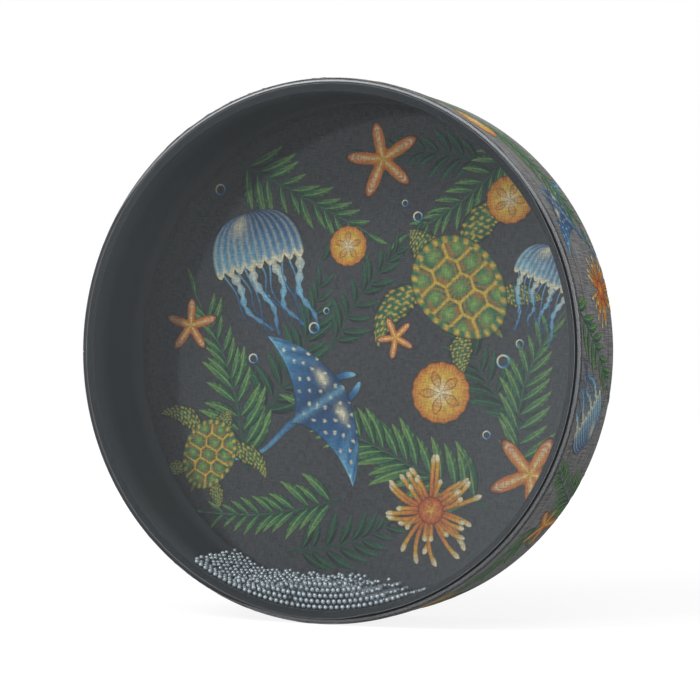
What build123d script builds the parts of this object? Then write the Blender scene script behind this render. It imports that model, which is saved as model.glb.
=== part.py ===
# Ocean drum: a shallow hoop with a clear head in front, a printed cloth head behind,
# a fabric wrap round its side and loose steel beads sealed between the heads.
# It stands on edge: its axis lies along Y, the clear head faces -Y, +Z is up,
# and the origin is the centre of the drum.

import os
from math import cos, degrees, radians, sin

from build123d import *

os.makedirs("parts", exist_ok=True)

# Driving dimensions, in millimetres and degrees

shell_diameter = 304.8
shell_wall = 7.0
overall_depth = 61.0
shell_inner_edge_radius = 0.8

film_thickness = 0.3
film_edge_radius = 2.2
collar_length = 11.0

bond_thickness = 0.5
bond_setback = 1.0

cloth_thickness = 0.5
cloth_edge_gap = 0.4

wrap_thickness = 0.4
wrap_clearance = 0.1
wrap_turn_in = 35.0
wrap_seam_gap = 0.4

bead_diameter = 3.0
bead_gap = 0.15
bead_clearance = 0.3
layer_gap = 0.2

# The heap: evenly spaced rows of beads across the shell, and, from the layer on the shell upwards,
# how far each layer reaches to the left and right of the lowest point, in degrees
heap_rows = 5
heap_layers = [(34.0, 17.5), (21.5, 14.2), (16.5, 11.0), (10.5, 7.5), (5.0, 3.5)]

# Sizes that follow from the driving dimensions

FRONT = -1
BACK = 1
half_depth = overall_depth / 2
shell_radius = shell_diameter / 2
shell_inner_radius = shell_radius - shell_wall
shell_mid_radius = shell_radius - shell_wall / 2
shell_half_depth = half_depth - film_thickness
edge_centre_radius = shell_radius - film_edge_radius
edge_centre_depth = half_depth - film_edge_radius
collar_end_depth = half_depth - collar_length
collar_mid_depth = half_depth - collar_length / 2
bond_outer_radius = shell_radius - film_thickness
bond_inner_radius = bond_outer_radius - bond_thickness
bond_length = edge_centre_depth - bond_setback - collar_end_depth
bond_mid_depth = collar_end_depth + bond_length / 2
cloth_radius = shell_inner_radius - cloth_edge_gap
cloth_face_depth = shell_half_depth - cloth_thickness
wrap_inner_edge_radius = film_edge_radius + wrap_clearance
wrap_outer_edge_radius = wrap_inner_edge_radius + wrap_thickness
bead_radius = bead_diameter / 2


def head_section(side):
    """Half section of a head: flat to the rim, round its edge, then down the collar. X is the radius."""
    edge_centre = (edge_centre_radius, side * edge_centre_depth)
    collar_end = side * collar_end_depth
    outer_middle = (0, side * half_depth)
    inner_middle = (0, side * shell_half_depth)
    with BuildSketch() as section:
        with BuildLine():
            outer_edge = CenterArc(edge_centre, film_edge_radius, 0, side * 90)
            inner_edge = CenterArc(edge_centre, film_edge_radius - film_thickness, 0, side * 90)
            Line(outer_middle, outer_edge @ 1)
            Line(outer_edge @ 0, (shell_radius, collar_end))
            Line((shell_radius, collar_end), (bond_outer_radius, collar_end))
            Line((bond_outer_radius, collar_end), inner_edge @ 0)
            Line(inner_edge @ 1, inner_middle)
            Line(inner_middle, outer_middle)
        make_face()
    return section.sketch


def bead_places(number, left, right):
    """Centres of one layer's beads: arcs round the drum's axis, spaced from the clear head to the cloth."""
    radius = shell_inner_radius - bead_clearance - bead_radius - number * (bead_diameter + layer_gap)
    pitch = degrees((bead_diameter + bead_gap) / radius)
    half_step = pitch / 2 * (number % 2)
    first_row = -shell_half_depth + bead_clearance + bead_radius
    last_row = cloth_face_depth - bead_clearance - bead_radius
    row_step = (last_row - first_row) / (heap_rows - 1)
    places = []
    for row in range(heap_rows):
        for place in range(int((left + right - half_step) / pitch) + 1):
            angle = radians(place * pitch + half_step - left)
            places.append((radius * sin(angle), first_row + row * row_step, -radius * cos(angle)))
    return places


# Shell: a hoop with rounded rims, stepped in to seat the collars and grooved for the adhesive

with BuildPart() as shell_hoop:
    with BuildSketch() as shell_section:
        with Locations((shell_mid_radius, 0)):
            Rectangle(shell_wall, 2 * shell_half_depth)
        with Locations((shell_radius, collar_mid_depth), (shell_radius, -collar_mid_depth)):
            Rectangle(2 * film_thickness, collar_length, mode=Mode.SUBTRACT)
        by_depth = shell_section.vertices().group_by(Axis.Y)
        rim_corners = by_depth[0] + by_depth[-1]
        fillet(rim_corners.group_by(Axis.X)[-1], film_edge_radius - film_thickness)
        fillet(rim_corners.group_by(Axis.X)[0], shell_inner_edge_radius)
        with Locations((bond_outer_radius, bond_mid_depth), (bond_outer_radius, -bond_mid_depth)):
            Rectangle(2 * bond_thickness, bond_length, mode=Mode.SUBTRACT)
    revolve(axis=Axis.Y)
shell_hoop.part.label = "shell_hoop"
export_step(shell_hoop.part, "parts/shell_hoop.step")

# Heads: a film stretched over each rim, with a collar down the outside of the shell

with BuildPart() as front_head:
    revolve(head_section(FRONT), axis=Axis.Y)
front_head.part.label = "front_head"
export_step(front_head.part, "parts/front_head.step")

with BuildPart() as back_head:
    revolve(head_section(BACK), axis=Axis.Y)
back_head.part.label = "back_head"
export_step(back_head.part, "parts/back_head.step")

# Bonds: the rings of adhesive between each collar and the groove under it

for name, side in (("front_bond", FRONT), ("back_bond", BACK)):
    with BuildPart() as bond:
        with BuildSketch(Plane.XZ.offset(-side * bond_mid_depth)):
            Circle(bond_outer_radius)
            Circle(bond_inner_radius, mode=Mode.SUBTRACT)
        extrude(amount=bond_length / 2, both=True)
    bond.part.label = name
    export_step(bond.part, f"parts/{name}.step")

# Printed cloth: a disc bonded to the inner face of the back film, inside the shell

with BuildPart() as printed_cloth:
    with BuildSketch(Plane.XZ.offset(-cloth_face_depth)):
        Circle(cloth_radius)
    extrude(amount=-cloth_thickness)
printed_cloth.part.label = "printed_cloth"
export_step(printed_cloth.part, "parts/printed_cloth.step")

# Wrap: a fabric strip round the shell and the collars, turned in over both rounded edges,
# whose ends meet in an open seam on the left

with BuildPart() as side_wrap:
    with BuildSketch():
        with BuildLine():
            ends = {}
            for side in (FRONT, BACK):
                edge_centre = (edge_centre_radius, side * edge_centre_depth)
                inner = CenterArc(edge_centre, wrap_inner_edge_radius, 0, side * wrap_turn_in)
                outer = CenterArc(edge_centre, wrap_outer_edge_radius, 0, side * wrap_turn_in)
                Line(inner @ 1, outer @ 1)
                ends[side] = (inner @ 0, outer @ 0)
            for front_end, back_end in zip(ends[FRONT], ends[BACK]):
                Line(front_end, back_end)
        make_face()
    revolve(axis=Axis.Y)
    with Locations((-shell_radius, 0, 0)):
        Box(shell_wall, overall_depth, wrap_seam_gap, mode=Mode.SUBTRACT)
side_wrap.part.label = "side_wrap"
export_step(side_wrap.part, "parts/side_wrap.step")

# Beads: a heap in layers that lie one on another, each at its own distance from the drum's axis

for number, (left, right) in enumerate(heap_layers):
    with BuildPart() as beads:
        with Locations(*bead_places(number, left, right)):
            Sphere(bead_radius)
    name = f"bead_layer_{number + 1}"
    beads.part.label = name
    export_step(beads.part, f"parts/{name}.step")
    print(name, len(beads.part.solids()), "beads")
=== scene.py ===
# Ocean drum: the looks of its clear heads, coated hoop, printed fabric and steel beads.
# Lengths are in metres, and values written in millimetres are multiplied by MM.
# Only the prints and the weave are laid out in millimetres, on the flat cloth.

import bmesh
import bpy
import numpy as np
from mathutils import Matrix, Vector


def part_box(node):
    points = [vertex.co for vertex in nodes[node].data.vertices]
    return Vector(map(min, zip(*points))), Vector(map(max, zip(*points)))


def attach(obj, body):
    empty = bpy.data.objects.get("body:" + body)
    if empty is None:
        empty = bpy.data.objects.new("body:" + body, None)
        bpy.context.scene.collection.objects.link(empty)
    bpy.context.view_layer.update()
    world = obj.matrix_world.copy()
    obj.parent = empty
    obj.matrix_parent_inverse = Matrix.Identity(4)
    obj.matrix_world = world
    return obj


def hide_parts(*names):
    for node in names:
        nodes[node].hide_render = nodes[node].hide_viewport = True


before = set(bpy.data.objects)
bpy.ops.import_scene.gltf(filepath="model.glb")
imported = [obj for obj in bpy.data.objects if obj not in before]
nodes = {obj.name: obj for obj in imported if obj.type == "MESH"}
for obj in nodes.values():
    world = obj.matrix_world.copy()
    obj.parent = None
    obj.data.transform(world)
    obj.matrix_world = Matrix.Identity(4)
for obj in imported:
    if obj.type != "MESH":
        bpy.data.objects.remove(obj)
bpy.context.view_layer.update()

MM = 0.001
FULL_TURN = 2 * np.pi
WELD = 1e-7
TINY = 1e-12

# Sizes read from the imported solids

film_low, film_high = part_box("front_head")
_, shell_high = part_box("shell_hoop")
cloth_low, cloth_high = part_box("printed_cloth")
_, wrap_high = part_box("side_wrap")

HALF_DEPTH = -film_low.y
COLLAR_END = -film_high.y
SHELL_RADIUS = film_high.x
SHELL_HALF_DEPTH = shell_high.y
CLOTH_FACE = cloth_low.y
CLOTH_BACK = cloth_high.y
WRAP_RADIUS = wrap_high.x

# Sizes of the finer shapes

FILM_SEAT = 0.03 * MM
FILM_THICKNESS = HALF_DEPTH - SHELL_HALF_DEPTH - FILM_SEAT
EDGE_RADIUS = 2.2 * MM
EDGE_CENTRE_RADIUS = SHELL_RADIUS - EDGE_RADIUS
EDGE_CENTRE_DEPTH = HALF_DEPTH - EDGE_RADIUS
SHELL_WALL = 7.0 * MM
BORE_RADIUS = SHELL_RADIUS - SHELL_WALL
CLOTH_TUCK = 0.05 * MM
CLOTH_RADIUS = BORE_RADIUS + CLOTH_TUCK
WRAP_THICKNESS = 0.4 * MM
WRAP_TURN_IN = np.radians(35.0)
SEAM_GAP = 0.4 * MM
SEAM_ANGLE = -np.pi / 2
WRAP_BEND = WRAP_RADIUS - EDGE_CENTRE_RADIUS
WRAP_STRAIGHT = EDGE_CENTRE_DEPTH
WRAP_HALF_WIDTH = WRAP_STRAIGHT + WRAP_BEND * WRAP_TURN_IN
WRAP_LENGTH = FULL_TURN * WRAP_RADIUS - SEAM_GAP

# Colours, as linear red, green and blue

WHITE = (1.0, 1.0, 1.0)
CHARCOAL = (0.038, 0.039, 0.042)
INK = (0.006, 0.008, 0.009)
DEEP_GREEN = (0.010, 0.050, 0.028)
LEAF_GREEN = (0.030, 0.130, 0.058)
LIME = (0.20, 0.32, 0.07)
NAVY = (0.007, 0.025, 0.075)
SEA_BLUE = (0.018, 0.110, 0.250)
SKY_BLUE = (0.17, 0.40, 0.53)
GOLD = (0.56, 0.36, 0.045)
AMBER = (0.52, 0.17, 0.022)
BRICK = (0.30, 0.036, 0.016)
CREAM = (0.64, 0.58, 0.38)


# Meshes

def grid_faces(rows, columns, closed_rows=False, closed_columns=False):
    """Quads of a grid of points; a closed direction joins its last line to its first."""
    row = np.arange(rows if closed_rows else rows - 1)[:, None]
    column = np.arange(columns if closed_columns else columns - 1)[None, :]
    next_row = (row + 1) % rows
    next_column = (column + 1) % columns
    corners = (
        row * columns + column,
        row * columns + next_column,
        next_row * columns + next_column,
        next_row * columns + column,
    )
    return np.stack(np.broadcast_arrays(*corners), axis=-1).reshape(-1, 4)


def paired(first, second):
    """Points from their two coordinates, each an array or one number."""
    return np.stack(np.broadcast_arrays(first, second), axis=-1)


def round_axis(radius, angle, depth):
    """Points by radius from the drum's axis, angle round it from its lowest point, and depth along it."""
    parts = np.broadcast_arrays(radius * np.sin(angle), depth, -radius * np.cos(angle))
    return np.stack(parts, axis=-1)


def add_piece(name, points, faces, material, slot, body="drum", colours=None, threads=None, closed=True):
    """A mesh object from arrays of points and faces, welded where points meet, that rides on a body.

    colours is a colour for each point, and threads its place on the cloth in millimetres, for the weave.
    closed says that the piece encloses a space, so its faces are turned outwards.
    """
    mesh = bpy.data.meshes.new(name)
    corners = faces if isinstance(faces, list) else faces.tolist()
    mesh.from_pydata(points.reshape(-1, 3).tolist(), [], corners)
    if colours is not None:
        rgba = np.concatenate([colours.reshape(-1, 3), np.ones((colours.size // 3, 1))], axis=1)
        mesh.color_attributes.new("ink", "FLOAT_COLOR", "POINT").data.foreach_set("color", rgba.ravel())
    if threads is not None:
        corner_points = np.empty(len(mesh.loops), dtype=np.int32)
        mesh.loops.foreach_get("vertex_index", corner_points)
        layer = mesh.uv_layers.new(name="threads")
        layer.data.foreach_set("uv", threads.reshape(-1, 2)[corner_points].ravel())
    work = bmesh.new()
    work.from_mesh(mesh)
    bmesh.ops.remove_doubles(work, verts=work.verts, dist=WELD)
    if closed:
        bmesh.ops.recalc_face_normals(work, faces=work.faces)
    work.to_mesh(mesh)
    work.free()
    mesh.shade_smooth()
    mesh.materials.append(material)
    piece = bpy.data.objects.new(name, mesh)
    bpy.context.scene.collection.objects.link(piece)
    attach(piece, body)
    return piece


def lathe(section, steps):
    """A closed section of radius and depth carried once round the drum's axis; returns points and faces."""
    angle = np.linspace(0, FULL_TURN, steps, endpoint=False)
    points = round_axis(section[:, :1], angle[None, :], section[:, 1:])
    return points, grid_faces(len(section), steps, closed_rows=True, closed_columns=True)


def arc(centre_radius, centre_depth, radius, start, end, count):
    """Points of a section on an arc between two angles, where 0 points away from the drum's axis."""
    turn = np.linspace(start, end, count)
    return paired(centre_radius + radius * np.cos(turn), centre_depth + radius * np.sin(turn))


# Materials

# Sockets of a Mix node: its factor, its two colours and the mixed colour
MIX_FACTOR = 0
MIX_FIRST = 6
MIX_SECOND = 7
MIX_RESULT = 2


def new_finish(name):
    """A node material and its tree, with the Principled shader that its output shows."""
    material = bpy.data.materials.new(name)
    material.use_nodes = True
    return material, material.node_tree, material.node_tree.nodes["Principled BSDF"]


def feed(tree, node, inputs):
    """Sets a node's inputs, each to a number, a colour or the socket that feeds it."""
    for name, value in inputs.items():
        if isinstance(value, bpy.types.NodeSocket):
            tree.links.new(value, node.inputs[name])
        else:
            node.inputs[name].default_value = value


def add_node(tree, kind, inputs, **settings):
    """One shader node with its settings and inputs."""
    node = tree.nodes.new("ShaderNode" + kind)
    for name, value in settings.items():
        setattr(node, name, value)
    feed(tree, node, inputs)
    return node


def calculate(tree, operation, first, second=0.0):
    """A Math node's result."""
    return add_node(tree, "Math", {0: first, 1: second}, operation=operation).outputs[0]


def times(tree, first, second):
    """A product of two numbers or sockets."""
    return calculate(tree, "MULTIPLY", first, second)


def minus(tree, first, second):
    """A difference of two numbers or sockets."""
    return calculate(tree, "SUBTRACT", first, second)


def opaque(colour):
    """A colour with full cover, as sockets take it; a socket stays as it is."""
    return colour if isinstance(colour, bpy.types.NodeSocket) else (*colour, 1.0)


def mix_colours(tree, factor, first, second):
    """A colour between two others, by a factor."""
    inputs = {MIX_FACTOR: factor, MIX_FIRST: opaque(first), MIX_SECOND: opaque(second)}
    return add_node(tree, "Mix", inputs, data_type="RGBA").outputs[MIX_RESULT]


def ramp(tree, value, stops):
    """A Color Ramp of grey levels, given as places and levels."""
    stops = tuple(stops)
    node = add_node(tree, "ValToRGB", {"Fac": value})
    elements = node.color_ramp.elements
    while len(elements) < len(stops):
        elements.new(0.5)
    for element, (place, level) in zip(elements, stops):
        element.position = place
        element.color = (level, level, level, 1.0)
    return node.outputs["Color"]


def noise(tree, vector, scale, detail=3.0, stretch=(1.0, 1.0, 1.0)):
    """Noise at a scale, drawn out along the axes whose stretch is small."""
    placed = add_node(tree, "Mapping", {"Vector": vector, "Scale": stretch}).outputs[0]
    return add_node(tree, "TexNoise", {"Vector": placed, "Scale": scale, "Detail": detail}).outputs["Fac"]


def object_place(tree):
    """A point's place in the piece's own frame."""
    return tree.nodes.new("ShaderNodeTexCoord").outputs["Object"]


def bump(tree, shader, height, distance, strength=1.0):
    """Raises the shader's surface by a height from 0 to 1, times a distance in metres."""
    node = add_node(tree, "Bump", {"Height": height, "Distance": distance, "Strength": strength})
    tree.links.new(node.outputs[0], shader.inputs["Normal"])


def axis_distance(tree, place):
    """Distance from the drum's axis."""
    flat = add_node(tree, "VectorMath", {0: place, 1: (1.0, 0.0, 1.0)}, operation="MULTIPLY").outputs[0]
    return add_node(tree, "VectorMath", {0: flat}, operation="LENGTH").outputs["Value"]


def towards(tree, place, direction):
    """How far a place lies from the drum's middle in a direction."""
    node = add_node(tree, "VectorMath", {0: place, 1: direction}, operation="DOT_PRODUCT")
    return node.outputs["Value"]


def between(tree, value, low, high):
    """0 up to low, 1 from high on and a smooth rise between."""
    node = add_node(tree, "MapRange", {0: value, 1: low, 2: high}, interpolation_type="SMOOTHSTEP")
    return node.outputs[0]


def rising(tree, share, start, rise):
    """A start plus a share of a rise."""
    return calculate(tree, "ADD", times(tree, share, rise), start)


# Clear film, its haze and gloss with painted light and shade, and the line of adhesive under it. A pair says
# where a change starts and ends: a side's by distance from the drum's middle in a direction, the others' by
# distance from its axis.
LOW_RIGHT = (0.90, 0.0, -0.44)
LOW_LEFT = (-0.95, 0.0, -0.30)
UPWARDS = (0.0, 0.0, 1.0)
MIRROR_TINT = (0.92, 0.94, 0.96)
CLEAR_TINT = (0.97, 0.98, 0.98)
HAZE_TINT = (0.87, 0.94, 1.0)
FILM_INDEX = 1.5
FILM_HAZE = 0.0285
# Where the haze rises as painted light low on the right and falls as painted shade at the top
PAINTED_LIGHT_SIDE = (45.0 * MM, 150.0 * MM)
PAINTED_LIGHT_HAZE = 0.024
PAINTED_SHADE_SIDE = (50.0 * MM, 135.0 * MM)
PAINTED_SHADE_HAZE = 0.0075
HEAD_ON_GLOSS = 0.046
FILM_CURVE = (149.9 * MM, 150.4 * MM)
BEND_ROUGHNESS = (0.10, 0.46)
FILM_BEND = (150.35 * MM, 150.9 * MM)
BEND_GLOSS = 0.11
ADHESIVE_START = (149.5 * MM, 149.8 * MM)
ADHESIVE_END = (150.3 * MM, 150.5 * MM)
# Where the adhesive line widens and the wrap's edge darkens, as painted shade, low on the right
LOW_RIGHT_SHADE_SIDE = (72.0 * MM, 92.0 * MM)
LINE_SHADE_WIDENING = 0.9 * MM
SPILL_SIDE = (70.0 * MM, 115.0 * MM)
ADHESIVE_SPILL = 2.2 * MM
ADHESIVE_BLACK = (0.016, 0.016, 0.016)
ADHESIVE_GREY = (0.048, 0.051, 0.054)


def film_finish(name):
    """Clear film with a faint haze, that mirrors most at a grazing view and where it is bent.

    Its haze is raised low on the right and lowered at the top as painted light and shade. A line of black
    adhesive shows just inside the bend. Low on the right it widens inwards as painted shade, and on the left
    it reaches out over the bend, where it is grey.
    """
    material, tree, shader = new_finish(name)
    place = object_place(tree)
    away = axis_distance(tree, place)
    facing = minus(tree, 1.0, add_node(tree, "NewGeometry", {}).outputs["Backfacing"])
    low_right = towards(tree, place, LOW_RIGHT)

    # The thin line all round is adhesive; low on the right it widens inwards as painted shade
    shade_widening = times(tree, between(tree, low_right, *LOW_RIGHT_SHADE_SIDE), LINE_SHADE_WIDENING)
    start = between(tree, calculate(tree, "ADD", away, shade_widening), *ADHESIVE_START)
    left = between(tree, towards(tree, place, LOW_LEFT), *SPILL_SIDE)
    spill = times(tree, left, ADHESIVE_SPILL)
    end = between(tree, minus(tree, away, spill), *ADHESIVE_END)
    line = minus(tree, start, end)
    adhesive = mix_colours(tree, left, ADHESIVE_BLACK, ADHESIVE_GREY)

    # Painted light and shade on the haze: more haze low on the right, less at the top
    ramp_share = rising(tree, between(tree, low_right, *PAINTED_LIGHT_SIDE), FILM_HAZE, PAINTED_LIGHT_HAZE)
    upper = between(tree, towards(tree, place, UPWARDS), *PAINTED_SHADE_SIDE)
    with_painted_light = minus(tree, ramp_share, times(tree, upper, PAINTED_SHADE_HAZE))
    covered = times(tree, calculate(tree, "MAXIMUM", line, with_painted_light), facing)
    clear = add_node(tree, "BsdfTransparent", {"Color": opaque(CLEAR_TINT)})
    haze = add_node(tree, "BsdfDiffuse", {"Color": mix_colours(tree, line, HAZE_TINT, adhesive)})
    hazy = add_node(tree, "MixShader", {0: covered, 1: clear.outputs[0], 2: haze.outputs[0]})

    roughness = ramp(tree, between(tree, away, *FILM_CURVE), zip((0.0, 1.0), BEND_ROUGHNESS))
    feed(tree, shader, {"Base Color": opaque(MIRROR_TINT), "Metallic": 1.0, "Roughness": roughness})
    gloss = add_node(tree, "Fresnel", {"IOR": FILM_INDEX}).outputs[0]
    gloss = calculate(tree, "MAXIMUM", minus(tree, gloss, HEAD_ON_GLOSS), 0.0)
    bent = times(tree, between(tree, away, *FILM_BEND), BEND_GLOSS)
    gloss = calculate(tree, "ADD", gloss, bent)
    gloss = times(tree, gloss, minus(tree, facing, line))
    gloss = calculate(tree, "MAXIMUM", gloss, 0.0)
    both = add_node(tree, "MixShader", {0: gloss, 1: hazy.outputs[0], 2: shader.outputs[0]})
    tree.links.new(both.outputs[0], tree.nodes["Material Output"].inputs["Surface"])
    return material


# Coat of the hoop: noise scales a metre, tones, where a change starts and ends, and a share's start and rise
COAT_CLOUD = 38.0
COAT_GRAIN = 900.0
COAT_TONES = ((0.007, 0.009, 0.011), (0.014, 0.016, 0.019))
RIM_FACE = (BORE_RADIUS + 0.5 * MM, BORE_RADIUS + 5.0 * MM)
RIM_SHARE = (0.35, 0.60)
RIM_START = (BORE_RADIUS + 0.01 * MM, BORE_RADIUS + 0.2 * MM)
# Depths over which the bore wall turns paler as painted light, and its paler tone
PAINTED_LIGHT_DEPTH = (8.0 * MM, 30.0 * MM)
PAINTED_LIGHT_TONE = (0.040, 0.043, 0.047)
GRAIN_ROUGHNESS = ((0.3, 0.48), (0.7, 0.66))
GRAIN_HEIGHT = 0.012 * MM
COAT_SPECULAR = 0.06


def shell_finish():
    """Satin blue-black coat on pressed fibre, clouded and grained, darker towards the bore, and paler towards
    its rims as painted light.
    """
    material, tree, shader = new_finish("fibre_coat")
    place = object_place(tree)
    away = axis_distance(tree, place)
    tone = mix_colours(tree, noise(tree, place, COAT_CLOUD), *COAT_TONES)
    # The rim face darkens towards the bore, and the bore wall takes the darkest share
    ramp_share = rising(tree, between(tree, away, *RIM_FACE), *RIM_SHARE)
    tone = mix_colours(tree, ramp_share, INK, tone)
    # Painted light: the bore wall is paler towards both rims
    depth = calculate(tree, "ABSOLUTE", add_node(tree, "SeparateXYZ", {0: place}).outputs["Y"])
    bore = minus(tree, 1.0, between(tree, away, *RIM_START))
    with_painted_light = times(tree, between(tree, depth, *PAINTED_LIGHT_DEPTH), bore)
    tone = mix_colours(tree, with_painted_light, tone, PAINTED_LIGHT_TONE)
    grain = noise(tree, place, COAT_GRAIN, detail=4.0)
    roughness = ramp(tree, grain, GRAIN_ROUGHNESS)
    feed(tree, shader, {"Base Color": tone, "Roughness": roughness, "Specular IOR Level": COAT_SPECULAR})
    bump(tree, shader, grain, GRAIN_HEIGHT)
    return material


LUMP_SCALE = 400.0
LUMP_HEIGHT = 0.1 * MM
LUMP_TONE = (0.020, 0.020, 0.021)
LUMP_ROUGHNESS = 0.5


def adhesive_finish():
    """Cured black adhesive, slightly lumpy."""
    material, tree, shader = new_finish("cured_adhesive")
    lumps = noise(tree, object_place(tree), LUMP_SCALE)
    feed(tree, shader, {"Base Color": mix_colours(tree, lumps, INK, LUMP_TONE), "Roughness": LUMP_ROUGHNESS})
    bump(tree, shader, lumps, LUMP_HEIGHT)
    return material


STEEL_PATCHES = 260.0
STEEL_TONES = ((0.162, 0.189, 0.21), (0.324, 0.36, 0.393))
STEEL_ROUGHNESS = 0.52


def steel_finish():
    """Polished steel, a little uneven from ball to ball."""
    material, tree, shader = new_finish("polished_steel")
    patches = noise(tree, object_place(tree), STEEL_PATCHES, detail=1.0)
    tone = mix_colours(tree, patches, *STEEL_TONES)
    feed(tree, shader, {"Base Color": tone, "Metallic": 1.0, "Roughness": STEEL_ROUGHNESS})
    return material


# Cloth: lengths are in millimetres, and a shade is a share of painted shade, laid as ink over a tone, or its
# start and rise
THREADS = 1.5
WEAVE_LEVELS = ((0.42, 0.0), (0.58, 1.0))
HOLLOW_PAINTED_SHADE = 0.45
FOLD_NOISE = 0.05
FOLD_WANDER = 3.0
FOLD_REACH = 1.1
FOLD_PAINTED_SHADE = 0.6
EDGE_PAINTED_SHADE = (0.15, 0.55)
CLOTH_GLOSS = {"Roughness": 0.85, "Specular IOR Level": 0.2, "Sheen Weight": 0.03}


def cloth_finish(name, relief, slubs, ground=None, crease=None, edge=None):
    """Plain-woven cloth of uneven threads both ways; with no ground colours, its print shows.

    relief is how far the threads stand up, slubs how often one thickens in a millimetre, ground the colour
    of a hollow, darker with painted shade, and of a raised thread, crease how far from the middle a fold
    lies, along which shade is painted, and edge where painted shade along the front edge starts and ends.
    """
    material, tree, shader = new_finish(name)
    threads = add_node(tree, "UVMap", {}, uv_map="threads").outputs[0]
    warp = noise(tree, threads, 1.0, detail=2.0, stretch=(THREADS, slubs, 1.0))
    weft = noise(tree, threads, 1.0, detail=2.0, stretch=(slubs, THREADS, 1.0))
    weave = times(tree, calculate(tree, "ADD", warp, weft), 0.5)
    # The weave's level sets the colour: besides the threads' uneven tone, its hollows are darker as painted
    # shade
    level = ramp(tree, weave, WEAVE_LEVELS)
    if ground:
        tone = mix_colours(tree, level, *ground)
    else:
        ink = add_node(tree, "VertexColor", {}, layer_name="ink").outputs["Color"]
        # Painted shade: the print darkens towards black in the weave's hollows
        tone = mix_colours(tree, level, mix_colours(tree, HOLLOW_PAINTED_SHADE, ink, INK), ink)
    if crease:
        # Painted shade along the fold at the crease
        across = calculate(tree, "ABSOLUTE", add_node(tree, "SeparateXYZ", {0: threads}).outputs["Y"])
        wander = times(tree, noise(tree, threads, FOLD_NOISE), FOLD_WANDER)
        beyond = minus(tree, calculate(tree, "ADD", across, wander), crease)
        away = calculate(tree, "ABSOLUTE", beyond)
        painted_fold_shade = minus(tree, 1.0, between(tree, away, 0.0, FOLD_REACH))
        tone = mix_colours(tree, times(tree, painted_fold_shade, FOLD_PAINTED_SHADE), tone, INK)
        # Painted shade along the front edge, deeper low on the right
        low_right_shade = between(tree, towards(tree, object_place(tree), LOW_RIGHT), *LOW_RIGHT_SHADE_SIDE)
        low_right_shade = rising(tree, low_right_shade, *EDGE_PAINTED_SHADE)
        painted_edge_shade = times(tree, between(tree, across, *edge), low_right_shade)
        tone = mix_colours(tree, painted_edge_shade, tone, INK)
    feed(tree, shader, {"Base Color": tone, **CLOTH_GLOSS})
    bump(tree, shader, weave, relief)
    return material


# Printed shapes: each is a grid of points in millimetres on the flat cloth, with a colour at each point.
# Every shape takes its size and the print's random numbers, and returns its patches from the lowest up.
# The numbers in a shape are shares of its size, or of the way along it, across it or out from its middle.

# Points along and across a patch, or round it and out from its middle
LEAF_GRID = (18, 9)
STEM_GRID = (40, 3)
STAR_GRID = (141, 22)
ARM_GRID = (44, 5)
BELL_GRID = (30, 91)
FLIPPER_GRID = (36, 15)
PLATES_GRID = (141, 32)
TAIL_GRID = (70, 5)
LOBE_GRID = (70, 7)
WING_GRID = (42, 101)
DISC_GRID = (131, 24)
FINGER_GRID = (30, 5)
BUBBLE_GRID = (37, 4)


def shades(share, *stops):
    """Colours along a run of evenly spaced stops, for shares from 0 to 1 and level beyond."""
    places = np.linspace(0, 1, len(stops))
    channels = [np.interp(share, places, channel) for channel in zip(*stops)]
    return np.stack(channels, axis=-1)


def painted(base, *layers):
    """base with layers of other colours over it, each a share from 0 to 1 and a colour."""
    for share, colour in layers:
        share = np.clip(share, 0, 1)[..., None]
        base = base * (1 - share) + np.array(colour) * share
    return base


def step_up(value, low, high):
    """0 below low, 1 above high and a smooth rise between."""
    share = np.clip((value - low) / (high - low), 0, 1)
    return share * share * (3 - 2 * share)


def cosine_wave(angle):
    """1 at every full turn of an angle and 0 half-way between, by its cosine."""
    return 0.5 + 0.5 * np.cos(angle)


def blunt_tip(along, power):
    """1 along most of a path and almost 0 at its end; a higher power narrows it later."""
    return np.sqrt(np.clip(1.001 - along ** power, 0, 1))


def turned(points, degrees):
    """Points turned anticlockwise about the origin."""
    angle = np.radians(degrees)
    spin = np.array([[np.cos(angle), np.sin(angle)], [-np.sin(angle), np.cos(angle)]])
    return points @ spin


def bent_path(start, bend, length):
    """A path of equal steps from a start, each with its own heading, anticlockwise from the right."""
    steps = paired(np.cos(bend), np.sin(bend)) * (length / len(bend))
    return np.asarray(start) + np.cumsum(steps, axis=0)


def round_outline(reach, angle):
    """An outline at a reach from its middle for each angle, clockwise from the top."""
    return paired(reach * np.sin(angle), reach * np.cos(angle))


def ring_grid(outline, rings):
    """Points from the middle of a closed outline out to it; returns them with their share of the way."""
    share = np.linspace(0, 1, rings)[:, None]
    middle = outline.mean(axis=0)
    points = middle + share[..., None] * (outline - middle)[None]
    return points, np.broadcast_to(share, points.shape[:2])


def ribbon(path, half_width, across):
    """A band along a path: points from its left edge to its right, with their shares along and across it."""
    along = np.linspace(0, 1, len(path))
    tangent = np.gradient(path, axis=0)
    tangent /= np.linalg.norm(tangent, axis=1, keepdims=True) + TINY
    normal = paired(-tangent[:, 1], tangent[:, 0])
    side = np.linspace(-1, 1, across)
    reach = np.asarray(half_width)[:, None, None] * side[None, :, None]
    points = path[:, None, :] + normal[:, None, :] * reach
    shape = points.shape[:2]
    return points, np.broadcast_to(along[:, None], shape), np.broadcast_to(side[None, :], shape)


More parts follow.
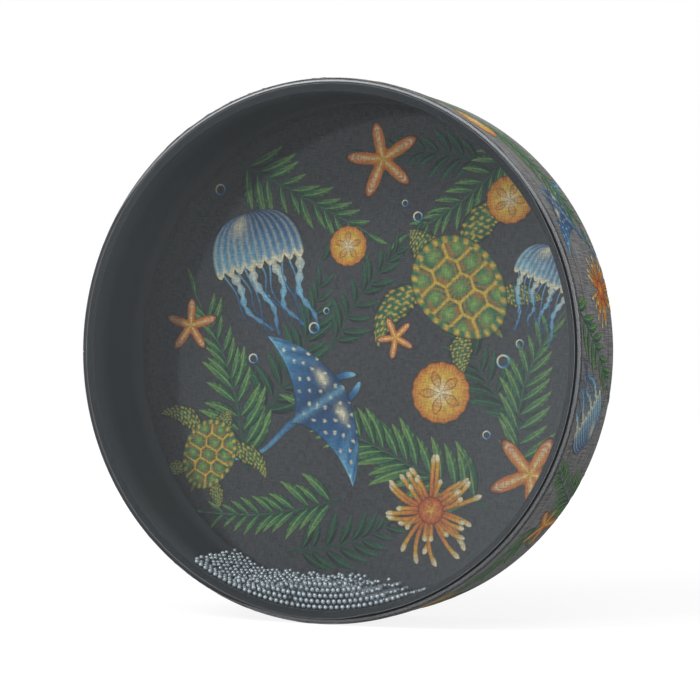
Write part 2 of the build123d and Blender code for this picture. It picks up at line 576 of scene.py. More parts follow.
def leaf(start, heading, length, width, tones):
    """A pointed leaf, as wide as a half sine wave, with a pale midrib, stippled veins and a dark edge."""
    along = np.linspace(0, 1, LEAF_GRID[0])
    path = bent_path(start, np.radians(heading) + 0.5 * (along - 0.5), length)
    half_width = 0.08 + width / 2 * np.sin(np.pi * along ** 0.8) ** 0.9
    points, share, side = ribbon(path, half_width, LEAF_GRID[1])
    veins = cosine_wave(FULL_TURN * (6 * share - 0.8 * np.abs(side)))
    stipple = veins ** 3 * cosine_wave(FULL_TURN * 1.5 * side) * step_up(share, 0.35, 0.7)
    return points, painted(
        shades(0.15 + 0.5 * share + 0.35 * side, *tones),
        (0.30 * (1 - veins) ** 3, INK),
        (0.75 * stipple, tones[-1]),
        (0.8 * (1 - step_up(np.abs(side), 0.05, 0.20)), tones[-1]),
        (step_up(np.abs(side), 0.70, 0.95), INK),
    )


LEAF_SPACING = 9


def leaf_sprig(length, rng, tones=(DEEP_GREEN, LEAF_GREEN, LIME)):
    """A curved stem with pairs of leaves that shorten towards its tip."""
    along = np.linspace(0, 1, STEM_GRID[0])
    sway = rng.uniform(-0.9, 0.9)
    path = paired(length * 0.16 * sway * np.sin(np.pi * along), length * (along - 0.5))
    points, share, _ = ribbon(path, 0.9 - 0.6 * along, STEM_GRID[1])
    patches = [(points, shades(share, DEEP_GREEN, tones[1]))]
    pairs = int(length / LEAF_SPACING)
    for number in range(pairs):
        place = 0.08 + 0.86 * number / pairs
        start = path[int(place * (len(path) - 1))]
        reach = length * (0.29 - 0.16 * place) * rng.uniform(0.80, 1.15)
        lean = 40 + 22 * place + rng.uniform(-8, 8)
        for heading in (lean, 180 - lean):
            patches.append(leaf(start, heading, reach, reach * 0.25, tones))
    patches.append(leaf(path[-1] - (0, 1), 90, length * 0.16, length * 0.04, tones))
    return patches


def dim_sprig(length, rng):
    """A sprig in deeper tones, as if it stood further off."""
    return leaf_sprig(length, rng, (INK, DEEP_GREEN, LEAF_GREEN))


def sea_star(size, rng, tones=(GOLD, AMBER, BRICK)):
    """Five arms: the outline's reach swings with the cosine of five turns, and dots run down the arms."""
    angle = np.linspace(0, FULL_TURN, STAR_GRID[0])
    swing = cosine_wave(5 * angle)
    wobble = 1 + 0.05 * np.sin(angle * 2 + rng.uniform(0, 6))
    reach = size / 2 * (0.30 + 0.70 * swing ** 1.6) * wobble
    points, share = ring_grid(round_outline(reach, angle), STAR_GRID[1])
    swing = np.broadcast_to(swing, share.shape)
    ridge = swing ** 12 * (1 - share)
    dots = cosine_wave(share * 46) ** 2 * step_up(swing, 0.90, 0.99) * step_up(0.95 - share, 0, 0.1)
    specks = cosine_wave(share * 60 + 2) ** 3 * cosine_wave(40 * angle) ** 3
    return [(points, painted(
        shades(share * 0.9 + 0.1 * (1 - swing), *tones),
        (0.5 * ridge, CREAM),
        (0.8 * dots, CREAM),
        (0.6 * specks * step_up(share, 0.2, 0.4), tones[0]),
        (step_up(share, 0.86, 1.0), INK),
    ))]


JELLY_ARMS = 11


def jellyfish(size, rng, tones=(SKY_BLUE, SEA_BLUE, NAVY)):
    """A bell that narrows with the cosine as it rises with the sine, over wavy arms and fine tentacles."""
    patches = []
    width = size * 0.36
    along = np.linspace(0, 1, ARM_GRID[0])
    for number in range(JELLY_ARMS):
        start = width * (number - JELLY_ARMS // 2) / 6.4
        wave = size * 0.035 * np.sin(along * rng.uniform(7, 11) + rng.uniform(0, 6)) * along ** 0.5
        drift = start * (1 - 0.35 * along) + wave + size * 0.10 * along ** 2
        reach = size * rng.uniform(0.45, 0.72)
        path = paired(drift, 0.02 * size - along * reach)
        broad = number % 3 == 1
        thick = (0.030 * size if broad else 0.008 * size) * (1 - 0.75 * along)
        if broad:
            thick = thick * (1 + 0.35 * np.sin(along * 40))
        points, share, side = ribbon(path, thick, ARM_GRID[1])
        arm_tones = (CREAM, SKY_BLUE, SEA_BLUE) if broad else tones
        patches.append((points, painted(shades(share, *arm_tones), (0.4 * np.abs(side), NAVY))))
    up = np.linspace(0, 1, BELL_GRID[0])[:, None]
    across = np.linspace(-1, 1, BELL_GRID[1])[None, :]
    hem = 0.045 * size * np.abs(np.cos(across * 4.5 * np.pi)) * (1 - up) ** 2
    rise = np.pi / 2 * up
    x = width * across * np.cos(rise) ** 0.7 * (1 - 0.08 * (1 - up) ** 3)
    z = size * 0.33 * np.sin(rise) - hem
    points = paired(x, z)
    up, across = np.broadcast_arrays(up, across)
    ribs = cosine_wave(across * 13 * np.pi) ** 2
    glow = np.exp(-((across + 0.35) / 0.22) ** 2 - ((up - 0.62) / 0.20) ** 2)
    edge = np.maximum(step_up(np.abs(across), 0.93, 1.0), step_up(up, 0.95, 1.0))
    patches.append((points, painted(
        shades(0.15 + 0.75 * up + 0.15 * across, *tones),
        (0.55 * ribs * (1 - up) ** 0.7, CREAM),
        (0.75 * glow, CREAM),
        (1 - step_up(up, 0.02, 0.09), CREAM),
        (edge, INK),
    )))
    return patches


def flipper(start, heading, length, width, curl, tones):
    """A paddle that sweeps round as it goes out, covered in pale-edged scales."""
    along = np.linspace(0, 1, FLIPPER_GRID[0])
    path = bent_path(start, np.radians(heading) + curl * along ** 1.3, length)
    half_width = width / 2 * (0.55 + 0.75 * np.sin(np.pi * along ** 0.7)) * blunt_tip(along, 3)
    points, share, side = ribbon(path, half_width, FLIPPER_GRID[1])
    cells = np.cos(FULL_TURN * 5.5 * share + 2.2 * side) * np.cos(FULL_TURN * 1.4 * side + 9 * share)
    return points, painted(
        shades(0.5 + 0.5 * side, *tones),
        (1 - step_up(np.abs(cells), 0.05, 0.22), GOLD),
        (step_up(np.abs(side), 0.82, 1.0), INK),
    )


# The turtle's flippers, head and tail: root right and up, heading in degrees, length, width and curl
TURTLE_LIMBS = (
    (-0.20, 0.17, 160, 0.46, 0.15, 1.2),
    (0.20, 0.17, 20, 0.46, 0.15, -1.2),
    (-0.17, -0.22, 215, 0.24, 0.12, 0.5),
    (0.17, -0.22, -35, 0.24, 0.12, -0.5),
    (0.0, 0.26, 90, 0.22, 0.15, 0.0),
    (0.0, -0.30, -90, 0.10, 0.035, 0.0),
)


def turtle(size, rng):
    """A shell of plates, each round its own point, with a rim of ticks, four flippers, a head and a tail."""
    skin = (DEEP_GREEN, LEAF_GREEN, DEEP_GREEN)
    patches = [
        flipper((right * size, up * size), heading, length * size, width * size, curl, skin)
        for right, up, heading, length, width, curl in TURTLE_LIMBS
    ]
    angle = np.linspace(0, FULL_TURN, PLATES_GRID[0])
    egg = 1 + 0.10 * np.cos(angle)
    outline = paired(0.27 * size * np.sin(angle) * egg, 0.35 * size * np.cos(angle))
    points, share = ring_grid(outline, PLATES_GRID[1])
    rows = np.array([0.26, 0.13, 0.0, -0.13, -0.25]) * size
    flanks = [paired(hand * 0.155 * size, rows[:4] - 0.062 * size) for hand in (-1, 1)]
    plates = np.concatenate([paired(0.0, rows), *flanks])
    away = np.sort(np.linalg.norm(points[:, :, None, :] - plates, axis=-1), axis=-1)
    nearest = away[..., 0]
    joint = away[..., 1] - nearest
    rays = cosine_wave(14 * np.arctan2(points[..., 0], points[..., 1]) + nearest * 1.1)
    rim = step_up(share, 0.84, 0.87)
    patches.append((points, painted(
        shades(nearest / (0.10 * size), LIME, LEAF_GREEN, DEEP_GREEN),
        (0.45 * rays * step_up(nearest, 0.02 * size, 0.06 * size), AMBER),
        (1 - step_up(joint, 0.006 * size, 0.022 * size), GOLD),
        (rim, LEAF_GREEN),
        (rim * cosine_wave(26 * angle) ** 2, GOLD),
        (step_up(share, 0.95, 1.0), INK),
    )))
    return patches


def sea_ray(size, rng, tones=(NAVY, SEA_BLUE, SKY_BLUE)):
    """Two swept wings between a bowed leading edge and a hollow trailing edge, with lobes and a long tail."""
    along = np.linspace(0, 1, TAIL_GRID[0])
    tail = paired(0.09 * size * np.sin(along * 4.0) * along, -0.16 * size - 0.60 * size * along)
    points, share, side = ribbon(tail, 0.020 * size * (1 - along) + 0.004 * size, TAIL_GRID[1])
    patches = [(points, painted(shades(share, SEA_BLUE, SKY_BLUE), (0.5 * np.abs(side), INK)))]
    along = np.linspace(0, 1, LOBE_GRID[0])
    for hand in (-1, 1):
        lobe = paired(hand * size * (0.075 - 0.05 * along ** 2), size * (0.18 + 0.14 * along))
        points, share, side = ribbon(lobe, size * 0.026 * np.sqrt(1.001 - along ** 4), LOBE_GRID[1])
        patches.append((points, painted(shades(share, *tones), (step_up(np.abs(side), 0.6, 1.0), INK))))
    up = np.linspace(0, 1, WING_GRID[0])[:, None]
    across = np.linspace(-1, 1, WING_GRID[1])[None, :]
    spread = np.abs(across)
    front = 0.22 - 0.10 * spread - 0.18 * spread ** 3
    back = -0.22 + 0.30 * spread ** 0.6 - 0.14 * spread ** 2
    points = paired(size * 0.55 * across, size * (back + (front - back) * up))
    up, across = np.broadcast_arrays(up, across)
    spread = np.abs(across)
    ripple = cosine_wave(26 * spread + 9 * up)
    right, high = np.moveaxis(points / (0.052 * size), -1, 0)
    spots = np.cos(np.pi * right + 0.9 * np.sin(1.7 * high))
    spots = spots * np.cos(np.pi * high + 0.9 * np.sin(1.3 * right))
    shoulder = np.exp(-(((spread - 0.24) / 0.10) ** 2) - ((up - 0.74) / 0.10) ** 2)
    gills = np.exp(-(((spread - 0.10) / 0.035) ** 2)) * cosine_wave(70 * up) ** 2
    edge = np.maximum(step_up(spread, 0.96, 1.0), step_up(np.abs(up - 0.5), 0.465, 0.5))
    patches.append((points, painted(
        shades(0.10 + 0.9 * spread ** 1.3 * (1.15 - up), *tones),
        (0.30 * ripple * step_up(spread, 0.25, 0.7), SKY_BLUE),
        (0.9 * step_up(spots, 0.72, 0.92) * step_up(up, 0.05, 0.2), CREAM),
        (0.85 * shoulder, CREAM),
        (0.45 * np.exp(-((across / 0.045) ** 2)), SKY_BLUE),
        (0.7 * gills * step_up(up, 0.45, 0.5) * step_up(0.72 - up, 0, 0.05), INK),
        (edge, INK),
    )))
    return patches


def sand_disc(size, rng, tones=(CREAM, GOLD, AMBER)):
    """A round test with five petals of fine pores and a scalloped rim."""
    angle = np.linspace(0, FULL_TURN, DISC_GRID[0])
    reach = size / 2 * (1 + 0.02 * np.cos(15 * angle))
    points, share = ring_grid(round_outline(reach, angle), DISC_GRID[1])
    petal = np.abs(((angle * 5 / FULL_TURN + 0.5) % 1) - 0.5)[None, :] * 2
    width = 0.55 * np.sin(np.pi * np.clip(share / 0.72, 0, 1))
    line = 1 - step_up(np.abs(petal - width), 0.03, 0.12)
    pores = cosine_wave(share * 90) * step_up(width - petal, 0.0, 0.1)
    rays = cosine_wave(45 * angle) * step_up(share, 0.76, 0.82)
    return [(points, painted(
        shades(share, *tones),
        (0.55 * pores * step_up(0.72 - share, 0, 0.05), BRICK),
        (0.85 * line * step_up(0.74 - share, 0, 0.04), BRICK),
        (0.4 * rays, BRICK),
        (step_up(share, 0.93, 1.0), INK),
    ))]


# Count and reach of the anemone's fingers, in its outer and its inner ring
FINGER_RINGS = ((22, 0.50), (15, 0.34))


def anemone(size, rng, tones=(BRICK, AMBER, GOLD)):
    """Two rings of waving fingers round a small disc, each finger with a pale bulb at its tip."""
    patches = []
    along = np.linspace(0, 1, FINGER_GRID[0])
    for ring, (count, reach) in enumerate(FINGER_RINGS):
        for number in range(count):
            heading = FULL_TURN * (number + 0.5 * ring) / count + rng.uniform(-0.08, 0.08)
            bend = heading + rng.uniform(-0.9, 0.9) * along ** 1.5
            length = size * reach * rng.uniform(0.85, 1.1)
            path = bent_path((0, 0), bend, length)[:, ::-1]
            thick = size * (0.022 + 0.014 * step_up(along, 0.75, 0.95)) * blunt_tip(along, 12)
            points, share, side = ribbon(path, thick, FINGER_GRID[1])
            patches.append((points, painted(
                shades(share, *tones),
                (0.8 * step_up(share, 0.80, 0.92), CREAM),
                (0.75 * np.abs(side) ** 3, INK),
            )))
    patches += sand_disc(size * 0.26, rng, (GOLD, AMBER, BRICK))
    return patches


def bubble(size, rng):
    """A thin ring, brighter at its upper left."""
    angle = np.linspace(0, FULL_TURN, BUBBLE_GRID[0])
    share = np.linspace(0.72, 1, BUBBLE_GRID[1])[:, None]
    points = share[..., None] * size / 2 * paired(np.cos(angle), np.sin(angle))[None]
    light = np.broadcast_to(cosine_wave(angle - 2.3), points.shape[:2])
    return [(points, shades(light, SEA_BLUE, SKY_BLUE, CREAM))]


def lay_print(layout, seed):
    """Puts each shape of a layout at its place, turned; returns all patches from the lowest up."""
    rng = np.random.default_rng(seed)
    patches = []
    for shape, right, up, size, turn in layout:
        for points, colours in shape(size, rng):
            patches.append((turned(points, turn) + (right, up), colours))
    return patches


def join_patches(patches, kept):
    """One array each of flat places, levels in the stack, colours and faces, which all face one way.

    kept says which places the cloth holds; a face with none of them is left out.
    """
    places, levels, colours, faces = [], [], [], []
    count = 0
    for level, (points, tones) in enumerate(patches):
        rows, columns = points.shape[:2]
        quads = grid_faces(rows, columns)
        flat = points.reshape(-1, 2)
        diagonal_a = flat[quads[:, 2]] - flat[quads[:, 0]]
        diagonal_b = flat[quads[:, 3]] - flat[quads[:, 1]]
        area = diagonal_a[:, 0] * diagonal_b[:, 1] - diagonal_a[:, 1] * diagonal_b[:, 0]
        quads = np.where(area[:, None] < 0, quads[:, ::-1], quads)
        quads = quads[kept(flat)[quads].any(axis=1)]
        places.append(flat)
        levels.append(np.full(len(flat), level))
        colours.append(tones.reshape(-1, 3))
        faces.append(quads + count)
        count += len(flat)
    return tuple(np.concatenate(part) for part in (places, levels, colours, faces))


# Heads, hoop and adhesive

FILM_RINGS = (0.0, 0.4, 0.8, 0.985)
FILM_ARC_POINTS = 15
FILM_STEPS = 256


def film_section(side):
    """Section of a film head: flat to the rim, round its edge, down the collar and back along the inside."""
    half_turn = side * np.pi / 2
    depth = side * EDGE_CENTRE_DEPTH
    collar = side * COLLAR_END
    rings = np.array(FILM_RINGS) * EDGE_CENTRE_RADIUS
    return np.concatenate([
        paired(rings, side * HALF_DEPTH),
        arc(EDGE_CENTRE_RADIUS, depth, EDGE_RADIUS, half_turn, 0.0, FILM_ARC_POINTS),
        paired(np.array([SHELL_RADIUS, SHELL_RADIUS - FILM_THICKNESS]), collar),
        arc(EDGE_CENTRE_RADIUS, depth, EDGE_RADIUS - FILM_THICKNESS, 0.0, half_turn, FILM_ARC_POINTS),
        paired(rings[::-1], side * (HALF_DEPTH - FILM_THICKNESS)),
    ])


def dress(node, material):
    """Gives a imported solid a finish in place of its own."""
    materials = nodes[node].data.materials
    materials.clear()
    materials.append(material)


clear_film = film_finish("clear_film")
for node, side, piece_name, slot in (
    ("front_head", -1, "front_film", "clear_film"),
    ("back_head", 1, "rear_film", "back_film"),
):
    film = add_piece(piece_name, *lathe(film_section(side), FILM_STEPS), clear_film, slot)
    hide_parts(node)

dress("shell_hoop", shell_finish())
black_adhesive = adhesive_finish()
for node in ("front_bond", "back_bond"):
    dress(node, black_adhesive)

# Printed cloth, whose edge is tucked just into the coat of the bore

CLOTH_RINGS = 30
CLOTH_STEPS = 180
HEAD_RELIEF = 0.04 * MM
HEAD_SLUBS = 0.22
# Colours of a hollow, darker as painted shade, and of a raised thread
HEAD_GROUND = ((0.019, 0.020, 0.022), (0.042, 0.043, 0.046))

cloth_rings = np.linspace(0, CLOTH_RADIUS, CLOTH_RINGS)
cloth_section = np.concatenate([paired(cloth_rings, CLOTH_FACE), paired(cloth_rings[::-1], CLOTH_BACK)])
cloth_points, cloth_faces = lathe(cloth_section, CLOTH_STEPS)
charcoal_cloth = cloth_finish("charcoal_cloth", HEAD_RELIEF, HEAD_SLUBS, HEAD_GROUND)
printed_head = add_piece(
    "printed_head", cloth_points, cloth_faces, charcoal_cloth, "printed_cloth",
    threads=cloth_points[..., [0, 2]] / MM,
)
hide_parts("printed_cloth")

# The print on the cloth, and its show-through on the back. PRINT_RADIUS is in millimetres, and each patch
# lies a step above the one before it.

INK_LIFT = 0.02 * MM
INK_STEP = 0.0004 * MM
PRINT_RADIUS = 144.5
SHOW_THROUGH = 0.6
HEAD_SEED = 5

# Shape, place right and up of the middle, size in millimetres and turn in degrees
HEAD_LAYOUT = (
    (dim_sprig, -46, 6, 104, -24),
    (dim_sprig, 84, -6, 96, 30),
    (dim_sprig, -6, -104, 84, -70),
    (dim_sprig, 40, 112, 76, 84),
    (leaf_sprig, -92, -18, 112, 18),
    (leaf_sprig, -38, 92, 96, -118),
    (leaf_sprig, 22, -62, 128, 64),
    (leaf_sprig, 112, -28, 104, -14),
    (leaf_sprig, 66, 96, 92, 128),
    (dim_sprig, 6, 34, 84, -38),
    (leaf_sprig, -58, -92, 92, 96),
    (turtle, 62, 36, 96, 42),
    (jellyfish, -66, 54, 92, 14),
    (sea_ray, -28, -32, 96, -58),
    (turtle, -100, -62, 64, -28),
    (sea_star, 14, 112, 48, 12),
    (sea_star, 104, -70, 52, 40),
    (sea_star, -112, 16, 36, 70),
    (sand_disc, 50, -24, 36, 20),
    (sand_disc, -8, 62, 24, 0),
    (anemone, 44, -92, 62, 0),
    (jellyfish, 112, 40, 58, -24),
    (sea_star, 22, 8, 26, 25),
    (sand_disc, 92, 86, 28, 50),
    (bubble, -30, 14, 7, 0),
    (bubble, -22, 24, 4, 0),
    (bubble, 88, -6, 8, 0),
    (bubble, 98, 4, 5, 0),
    (bubble, -92, 98, 7, 0),
    (bubble, 36, 78, 6, 0),
    (bubble, 28, 86, 4, 0),
    (bubble, -70, -4, 6, 0),
    (bubble, 78, -48, 5, 0),
)


def on_head(flat):
    """Whether each place lies within the print's radius."""
    return np.linalg.norm(flat, axis=1) < PRINT_RADIUS


def add_print(name, points, faces, slot, colours, flat):
    """A print from its points and their colours and places on the flat cloth."""
    add_piece(name, points, faces, inked_cloth, slot, colours=colours, threads=flat, closed=False)


inked_cloth = cloth_finish("inked_cloth", HEAD_RELIEF, HEAD_SLUBS)
flat, level, colours, faces = join_patches(lay_print(HEAD_LAYOUT, HEAD_SEED), on_head)
away = np.maximum(np.linalg.norm(flat, axis=1, keepdims=True), TINY)
flat = flat * np.minimum(1, PRINT_RADIUS / away)
stack = INK_LIFT + INK_STEP * level
faded = painted(colours, (np.full(len(colours), SHOW_THROUGH), CHARCOAL))
for name, depth, tones, order in (
    ("head_print", CLOTH_FACE - stack, colours, 1),
    ("back_print", CLOTH_BACK + stack, faded, -1),
):
    points = np.stack([flat[:, 0] * MM, depth, flat[:, 1] * MM], axis=1)
    add_print(name, points, faces[:, ::order], "printed_cloth", tones, flat)

# Wrap

WRAP_COLUMNS = 900
WRAP_ROWS = 45
RIDGE_HEIGHT = 0.22 * MM
RIDGE_WIDTH = 0.7 * MM
FRAY = 0.14 * MM
FRAY_SEED = 3
WRAP_RELIEF = 0.12 * MM
WRAP_SLUBS = 0.07
# Colours of a hollow, darker as painted shade, and of a raised thread
WRAP_GROUND = ((0.062, 0.062, 0.064), (0.190, 0.189, 0.193))
# Where the fold's painted shade lies, in millimetres from the middle
WRAP_CREASE = COLLAR_END / MM + 1.5
# Where the painted shade along the wrap's front edge starts and ends, in millimetres across
SHADED_EDGE = (WRAP_HALF_WIDTH / MM - 0.9, WRAP_HALF_WIDTH / MM - 0.3)


def on_wrap(along, across, lift):
    """A place on the wrapped side: along it from its lowest point, and across it towards the front.

    It runs straight across the side, swells over the ends of the collars and turns in over the rounded edges.
    """
    angle = along / WRAP_RADIUS
    reach = np.abs(across)
    over = np.clip(reach - WRAP_STRAIGHT, 0, None) / WRAP_BEND
    ridge = RIDGE_HEIGHT * np.exp(-(((reach - COLLAR_END) / RIDGE_WIDTH) ** 2))
    outward = WRAP_BEND + lift + ridge
    radius = EDGE_CENTRE_RADIUS + outward * np.cos(over)
    depth = -np.sign(across) * (np.minimum(reach, WRAP_STRAIGHT) + outward * np.sin(over))
    return round_axis(radius, angle, depth)


rng = np.random.default_rng(FRAY_SEED)
seam = SEAM_ANGLE * WRAP_RADIUS + SEAM_GAP / 2
along = np.linspace(seam, seam + WRAP_LENGTH, WRAP_COLUMNS)[None, :]
share = np.linspace(-1, 1, WRAP_ROWS)[:, None]
fray = FRAY * rng.uniform(-1, 1, (2, WRAP_COLUMNS))
across = share * (WRAP_HALF_WIDTH + np.where(share > 0, fray[0], fray[1]))
grey_cloth = cloth_finish("grey_cloth", WRAP_RELIEF, WRAP_SLUBS, WRAP_GROUND, WRAP_CREASE, SHADED_EDGE)
wrap_faces = grid_faces(WRAP_ROWS, WRAP_COLUMNS)
wrap = add_piece(
    "fabric_wrap", on_wrap(along, across, 0.0), wrap_faces, grey_cloth, "wrap_fabric",
    threads=paired(along / MM, across / MM), closed=False,
)
thickness = wrap.modifiers.new("thickness", "SOLIDIFY")
thickness.thickness = WRAP_THICKNESS
thickness.offset = -1.0
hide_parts("side_wrap")

# The print on the wrap, a row of shapes that repeats round the side

# Shape, place along a repeat in REPEAT_PARTS, place across and size in millimetres, and turn in degrees
WRAP_SHAPES = (
    (leaf_sprig, 0.0, 4, 92, 62),
    (sea_star, 0.38, -10, 40, 15),
    (leaf_sprig, 0.62, -6, 84, -48),
    (jellyfish, 1.05, 6, 62, 104),
    (leaf_sprig, 1.42, 10, 88, 118),
    (anemone, 1.72, -16, 44, 0),
    (sea_ray, 2.15, 2, 66, -70),
    (leaf_sprig, 2.5, -8, 90, 78),
    (sand_disc, 2.82, 14, 28, 0),
)
WRAP_REPEATS = 3
REPEAT_PARTS = 3.1
REPEAT_START = 0.05
REPEAT_TURN = 25
REPEAT_LENGTH = WRAP_LENGTH / MM / WRAP_REPEATS
WRAP_SEED = 11
WRAP_PRINT_HALF = WRAP_HALF_WIDTH / MM - 0.8
WRAP_INK_LIFT = 0.05 * MM


def on_strip(flat):
    """Whether each place lies within the print's half width."""
    return np.abs(flat[:, 1]) < WRAP_PRINT_HALF


wrap_layout = []
for repeat in range(WRAP_REPEATS):
    for shape, place, up, size, turn in WRAP_SHAPES:
        along_side = seam / MM + (repeat + place / REPEAT_PARTS + REPEAT_START) * REPEAT_LENGTH
        wrap_layout.append((shape, along_side, up, size, turn + REPEAT_TURN * repeat))
flat, level, colours, faces = join_patches(lay_print(wrap_layout, WRAP_SEED), on_strip)
flat = paired(flat[:, 0], np.clip(flat[:, 1], -WRAP_PRINT_HALF, WRAP_PRINT_HALF))
side_points = on_wrap(flat[:, 0] * MM, flat[:, 1] * MM, WRAP_INK_LIFT + INK_STEP * level)
add_print("wrap_print", side_points, faces, "wrap_fabric", colours, flat)

# Beads: a heap in layers, from the one on the shell upwards. For each layer, in degrees: how far it reaches
# to the left and right of the lowest point, ending with 0 where no layer follows, how askew its lattice lies,
# and how ragged its edge is. HEAP_EMPTY is the share of its places that are empty.

BEAD = 3.0 * MM
BEAD_GAP = 0.42 * MM
BEAD_CLEARANCE = 0.3 * MM
LAYER_GAP = 0.2 * MM
HEAP_LEFT = (33.0, 21.5, 16.5, 10.5, 5.0, 0.0)
HEAP_RIGHT = (17.5, 14.2, 11.0, 7.5, 3.5, 0.0)
HEAP_EMPTY = (0.0, 0.03, 0.05, 0.10, 0.30)
HEAP_TURN = (-15.0, -19.0, -12.0, -17.0, -14.0)
RAGGED = (1.0, 2.2, 2.4, 2.4, 2.4)
BEHIND_LEFT = 2.0
FRONT_RIGHT = 2.0
LINED_ROWS = 3
LATTICE = 80
TRIANGLE_HEIGHT = np.sqrt(0.75)
LOOSE_LEFT = 1.3
LOOSE_RIGHT = 1.5
LOOSE_MARGIN = np.radians(0.8)
BEAD_SEGMENTS = 10
BEAD_RINGS = 6
BEAD_SEED = 9


def unit_ball():
    """A ball of rings and segments about the drum's axis; returns points, quads and pole triangles."""
    tilt = np.linspace(0, np.pi, BEAD_RINGS + 1)[1:-1, None]
    turn = np.linspace(0, FULL_TURN, BEAD_SEGMENTS, endpoint=False)[None, :]
    depth = -np.cos(tilt) * np.ones_like(turn)
    body = np.stack([np.sin(tilt) * np.cos(turn), depth, np.sin(tilt) * np.sin(turn)], axis=-1)
    points = np.concatenate([body.reshape(-1, 3), [[0, -1, 0], [0, 1, 0]]])
    first = len(points) - 2
    last_ring = (BEAD_RINGS - 2) * BEAD_SEGMENTS
    turns = np.arange(BEAD_SEGMENTS)
    after = (turns + 1) % BEAD_SEGMENTS
    caps = [
        np.stack([after, turns, np.full_like(turns, first)], axis=1),
        np.stack([turns + last_ring, after + last_ring, np.full_like(turns, first + 1)], axis=1),
    ]
    return points, grid_faces(BEAD_RINGS - 1, BEAD_SEGMENTS, closed_columns=True), np.concatenate(caps)


def bead_places(number, rng):
    """Centres of a layer's beads, spread on its arc from the clear head to the cloth.

    The first rows line up along the clear head. The rest is a triangular lattice that lies askew, closer
    where the next layer rests on it and looser beyond, most of all on the right, where the heap runs on
    further in front. Each bead is a little out of its place, and the heap has a ragged edge and gaps.
    """
    foot = BORE_RADIUS - BEAD_CLEARANCE - BEAD / 2
    radius = foot - number * (BEAD + LAYER_GAP)
    pitch = BEAD + BEAD_GAP
    row_step = pitch * TRIANGLE_HEIGHT
    first_row = -SHELL_HALF_DEPTH + BEAD_CLEARANCE + BEAD / 2
    last_row = CLOTH_FACE - BEAD_CLEARANCE - BEAD / 2
    place, row = np.meshgrid(np.arange(-LATTICE, LATTICE), np.arange(-LATTICE, LATTICE))
    lined = (row >= 0) & (row < LINED_ROWS)
    angles = [(pitch / foot * (place + 0.5 * ((row + number) % 2)))[lined]]
    depths = [(first_row + row_step * row)[lined]]
    room = [np.full(len(angles[0]), BEAD_GAP / 2)]
    turn = np.radians(HEAP_TURN[number])
    next_left = np.radians(-HEAP_LEFT[number + 1])
    next_right = np.radians(HEAP_RIGHT[number + 1])
    for spread, low, high in (
        (1.0, next_left, next_right),
        (LOOSE_LEFT, -np.pi, next_left - LOOSE_MARGIN),
        (LOOSE_RIGHT, next_right + LOOSE_MARGIN, np.pi),
    ):
        along = spread * pitch * (place + 0.5 * (row % 2))
        away = spread * row_step * row
        angle = (np.cos(turn) * along + np.sin(turn) * away) / radius
        depth = np.cos(turn) * away - np.sin(turn) * along
        placed = (angle > low) & (angle < high)
        placed &= (depth >= first_row + LINED_ROWS * row_step) & (depth <= last_row)
        angles.append(angle[placed])
        depths.append(depth[placed])
        room.append(np.full(placed.sum(), (spread * pitch - BEAD) / 2))
    angle, depth, room = np.concatenate(angles), np.concatenate(depths), np.concatenate(room)
    angle = angle + rng.uniform(-1, 1, len(angle)) * room / radius
    depth = np.clip(depth + rng.uniform(0, 1, len(depth)) * room, first_row, last_row)
    behind = (depth - first_row) / (last_row - first_row)
    ragged_left, ragged_right = np.radians(RAGGED[number]) * rng.uniform(-1, 1, (2, len(angle)))
    kept = angle > ragged_left - np.radians(HEAP_LEFT[number] + BEHIND_LEFT * behind)
    kept &= angle < ragged_right + np.radians(HEAP_RIGHT[number] + FRONT_RIGHT * (1 - behind) ** 2)
    kept &= rng.uniform(0, 1, len(angle)) >= HEAP_EMPTY[number]
    return round_axis(radius, angle[kept], depth[kept])


steel = steel_finish()
ball_points, ball_quads, ball_caps = unit_ball()
rng = np.random.default_rng(BEAD_SEED)
for number, body in enumerate(("bead_bed", "bead_second", "bead_third", "bead_fourth", "bead_top")):
    centres = bead_places(number, rng)
    points = centres[:, None, :] + ball_points[None] * BEAD / 2
    offset = (np.arange(len(centres)) * len(ball_points))[:, None, None]
    quads = (ball_quads[None] + offset).reshape(-1, 4).tolist()
    caps = (ball_caps[None] + offset).reshape(-1, 3).tolist()
    beads = add_piece(f"beads_{number + 1}", points, quads + caps, steel, "bead_steel", body)
    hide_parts(f"bead_layer_{number + 1}")

# Camera, fitted to the rims of the drum in the photograph, with its direction in degrees

CAMERA_AZIMUTH = 23.3135
CAMERA_ELEVATION = -0.5325
CAMERA_DISTANCE = 1174.21 * MM
CAMERA_RIGHT = 5.39 * MM
CAMERA_UP = 0.56 * MM
CAMERA_LENS = 105.45
CAMERA_SENSOR = 36.0
CAMERA_NEAR = 0.01


def outwards(azimuth, elevation):
    """The direction from the drum at an azimuth, 0 in front, and an elevation, in degrees."""
    azimuth, elevation = np.radians(azimuth), np.radians(elevation)
    flat = np.cos(elevation)
    return Vector((np.sin(azimuth) * flat, -np.cos(azimuth) * flat, np.sin(elevation)))


def add_facing(name, data, place, away):
    """A camera or a lamp at a place, facing against a direction."""
    thing = bpy.data.objects.new(name, data)
    thing.location = place
    thing.rotation_euler = away.to_track_quat("Z", "Y").to_euler()
    bpy.context.scene.collection.objects.link(thing)
    return thing


back = outwards(CAMERA_AZIMUTH, CAMERA_ELEVATION)
right = Vector((0, 0, 1)).cross(back).normalized()
up = back.cross(right)
camera_data = bpy.data.cameras.new("camera")
camera_data.lens = CAMERA_LENS
camera_data.sensor_width = CAMERA_SENSOR
camera_data.clip_start = CAMERA_NEAR
camera_place = back * CAMERA_DISTANCE + right * CAMERA_RIGHT + up * CAMERA_UP
bpy.context.scene.camera = add_facing("camera", camera_data, camera_place, back)

# World, floor and lights; GLOW is the start and rise of the floor's glow over the distances of GLOW_FADE

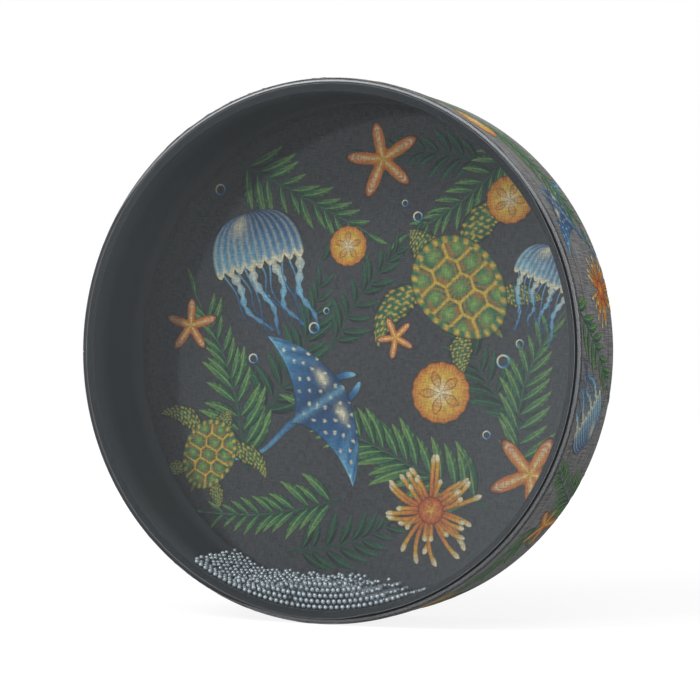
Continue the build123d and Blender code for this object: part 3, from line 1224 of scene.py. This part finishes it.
SKY_LIGHT = 0.07
FLOOR_SIZE = 8.0
FLOOR_HEIGHT = -WRAP_RADIUS - RIDGE_HEIGHT
FLOOR_GREY = (0.35, 0.35, 0.35)
FLOOR_ROUGHNESS = 0.9
PAPER_GREY = (0.15, 0.15, 0.15)
GLOW_FADE = (0.3, 1.2)
GLOW = (0.87, 0.13)


def white_to_the_eye(tree, seen, shaded):
    """Chooses a shader by ray: one for what the camera, mirrors and clear film see, and one for light."""
    path = tree.nodes.new("ShaderNodeLightPath")
    shown = calculate(tree, "MAXIMUM", path.outputs["Is Camera Ray"], path.outputs["Is Glossy Ray"])
    shown = calculate(tree, "MAXIMUM", shown, path.outputs["Is Transmission Ray"])
    return add_node(tree, "MixShader", {0: shown, 1: shaded, 2: seen}).outputs[0]


world = bpy.data.worlds.new("studio")
world.use_nodes = True
bpy.context.scene.world = world
sky_tree = world.node_tree
ambient = sky_tree.nodes["Background"]
feed(sky_tree, ambient, {"Color": opaque(WHITE), "Strength": SKY_LIGHT})
plain = add_node(sky_tree, "Background", {"Color": opaque(WHITE), "Strength": 1.0})
sky = white_to_the_eye(sky_tree, plain.outputs[0], ambient.outputs[0])
sky_tree.links.new(sky, sky_tree.nodes["World Output"].inputs["Surface"])

half = FLOOR_SIZE / 2
floor_outline = ((-half, -half), (half, -half), (half, half), (-half, half))
floor_corners = [(x, y, FLOOR_HEIGHT) for x, y in floor_outline]
floor_mesh = bpy.data.meshes.new("floor")
floor_mesh.from_pydata(floor_corners, [], [(0, 1, 2, 3)])
floor = bpy.data.objects.new("floor", floor_mesh)
bpy.context.scene.collection.objects.link(floor)
floor_material, floor_tree, floor_shader = new_finish("pale_floor")
feed(floor_tree, floor_shader, {"Base Color": opaque(FLOOR_GREY), "Roughness": FLOOR_ROUGHNESS})
floor_place = object_place(floor_tree)
distance = add_node(floor_tree, "VectorMath", {0: floor_place}, operation="LENGTH").outputs["Value"]
strength = rising(floor_tree, between(floor_tree, distance, *GLOW_FADE), *GLOW)
paper = add_node(floor_tree, "BsdfDiffuse", {"Color": opaque(PAPER_GREY)})
glow = add_node(floor_tree, "Emission", {"Color": opaque(WHITE), "Strength": strength})
white = add_node(floor_tree, "AddShader", {0: paper.outputs[0], 1: glow.outputs[0]})
chosen = white_to_the_eye(floor_tree, white.outputs[0], floor_shader.outputs[0])
floor_tree.links.new(chosen, floor_tree.nodes["Material Output"].inputs["Surface"])
floor.data.materials.append(floor_material)

# Name, azimuth and elevation in degrees, distance, width and height in metres, and power in watts
LAMPS = (
    ("key", -27, 12, 1.6, 0.09, 0.09, 12.0),
    ("soft", -38, 42, 1.4, 0.7, 0.7, 17.0),
    ("side", 82, 10, 1.4, 0.8, 0.8, 6.5),
    ("top", 46, 63, 1.0, 0.9, 0.6, 6.5),
    ("rear", 190, 20, 1.6, 0.9, 0.9, 6.0),
)
for name, azimuth, elevation, distance, width, height, power in LAMPS:
    away = outwards(azimuth, elevation)
    lamp = bpy.data.lights.new(name, "AREA")
    lamp.shape = "RECTANGLE"
    lamp.size = width
    lamp.size_y = height
    lamp.energy = power
    add_facing(name, lamp, away * distance, away)

bpy.context.scene.view_settings.view_transform = "Standard"
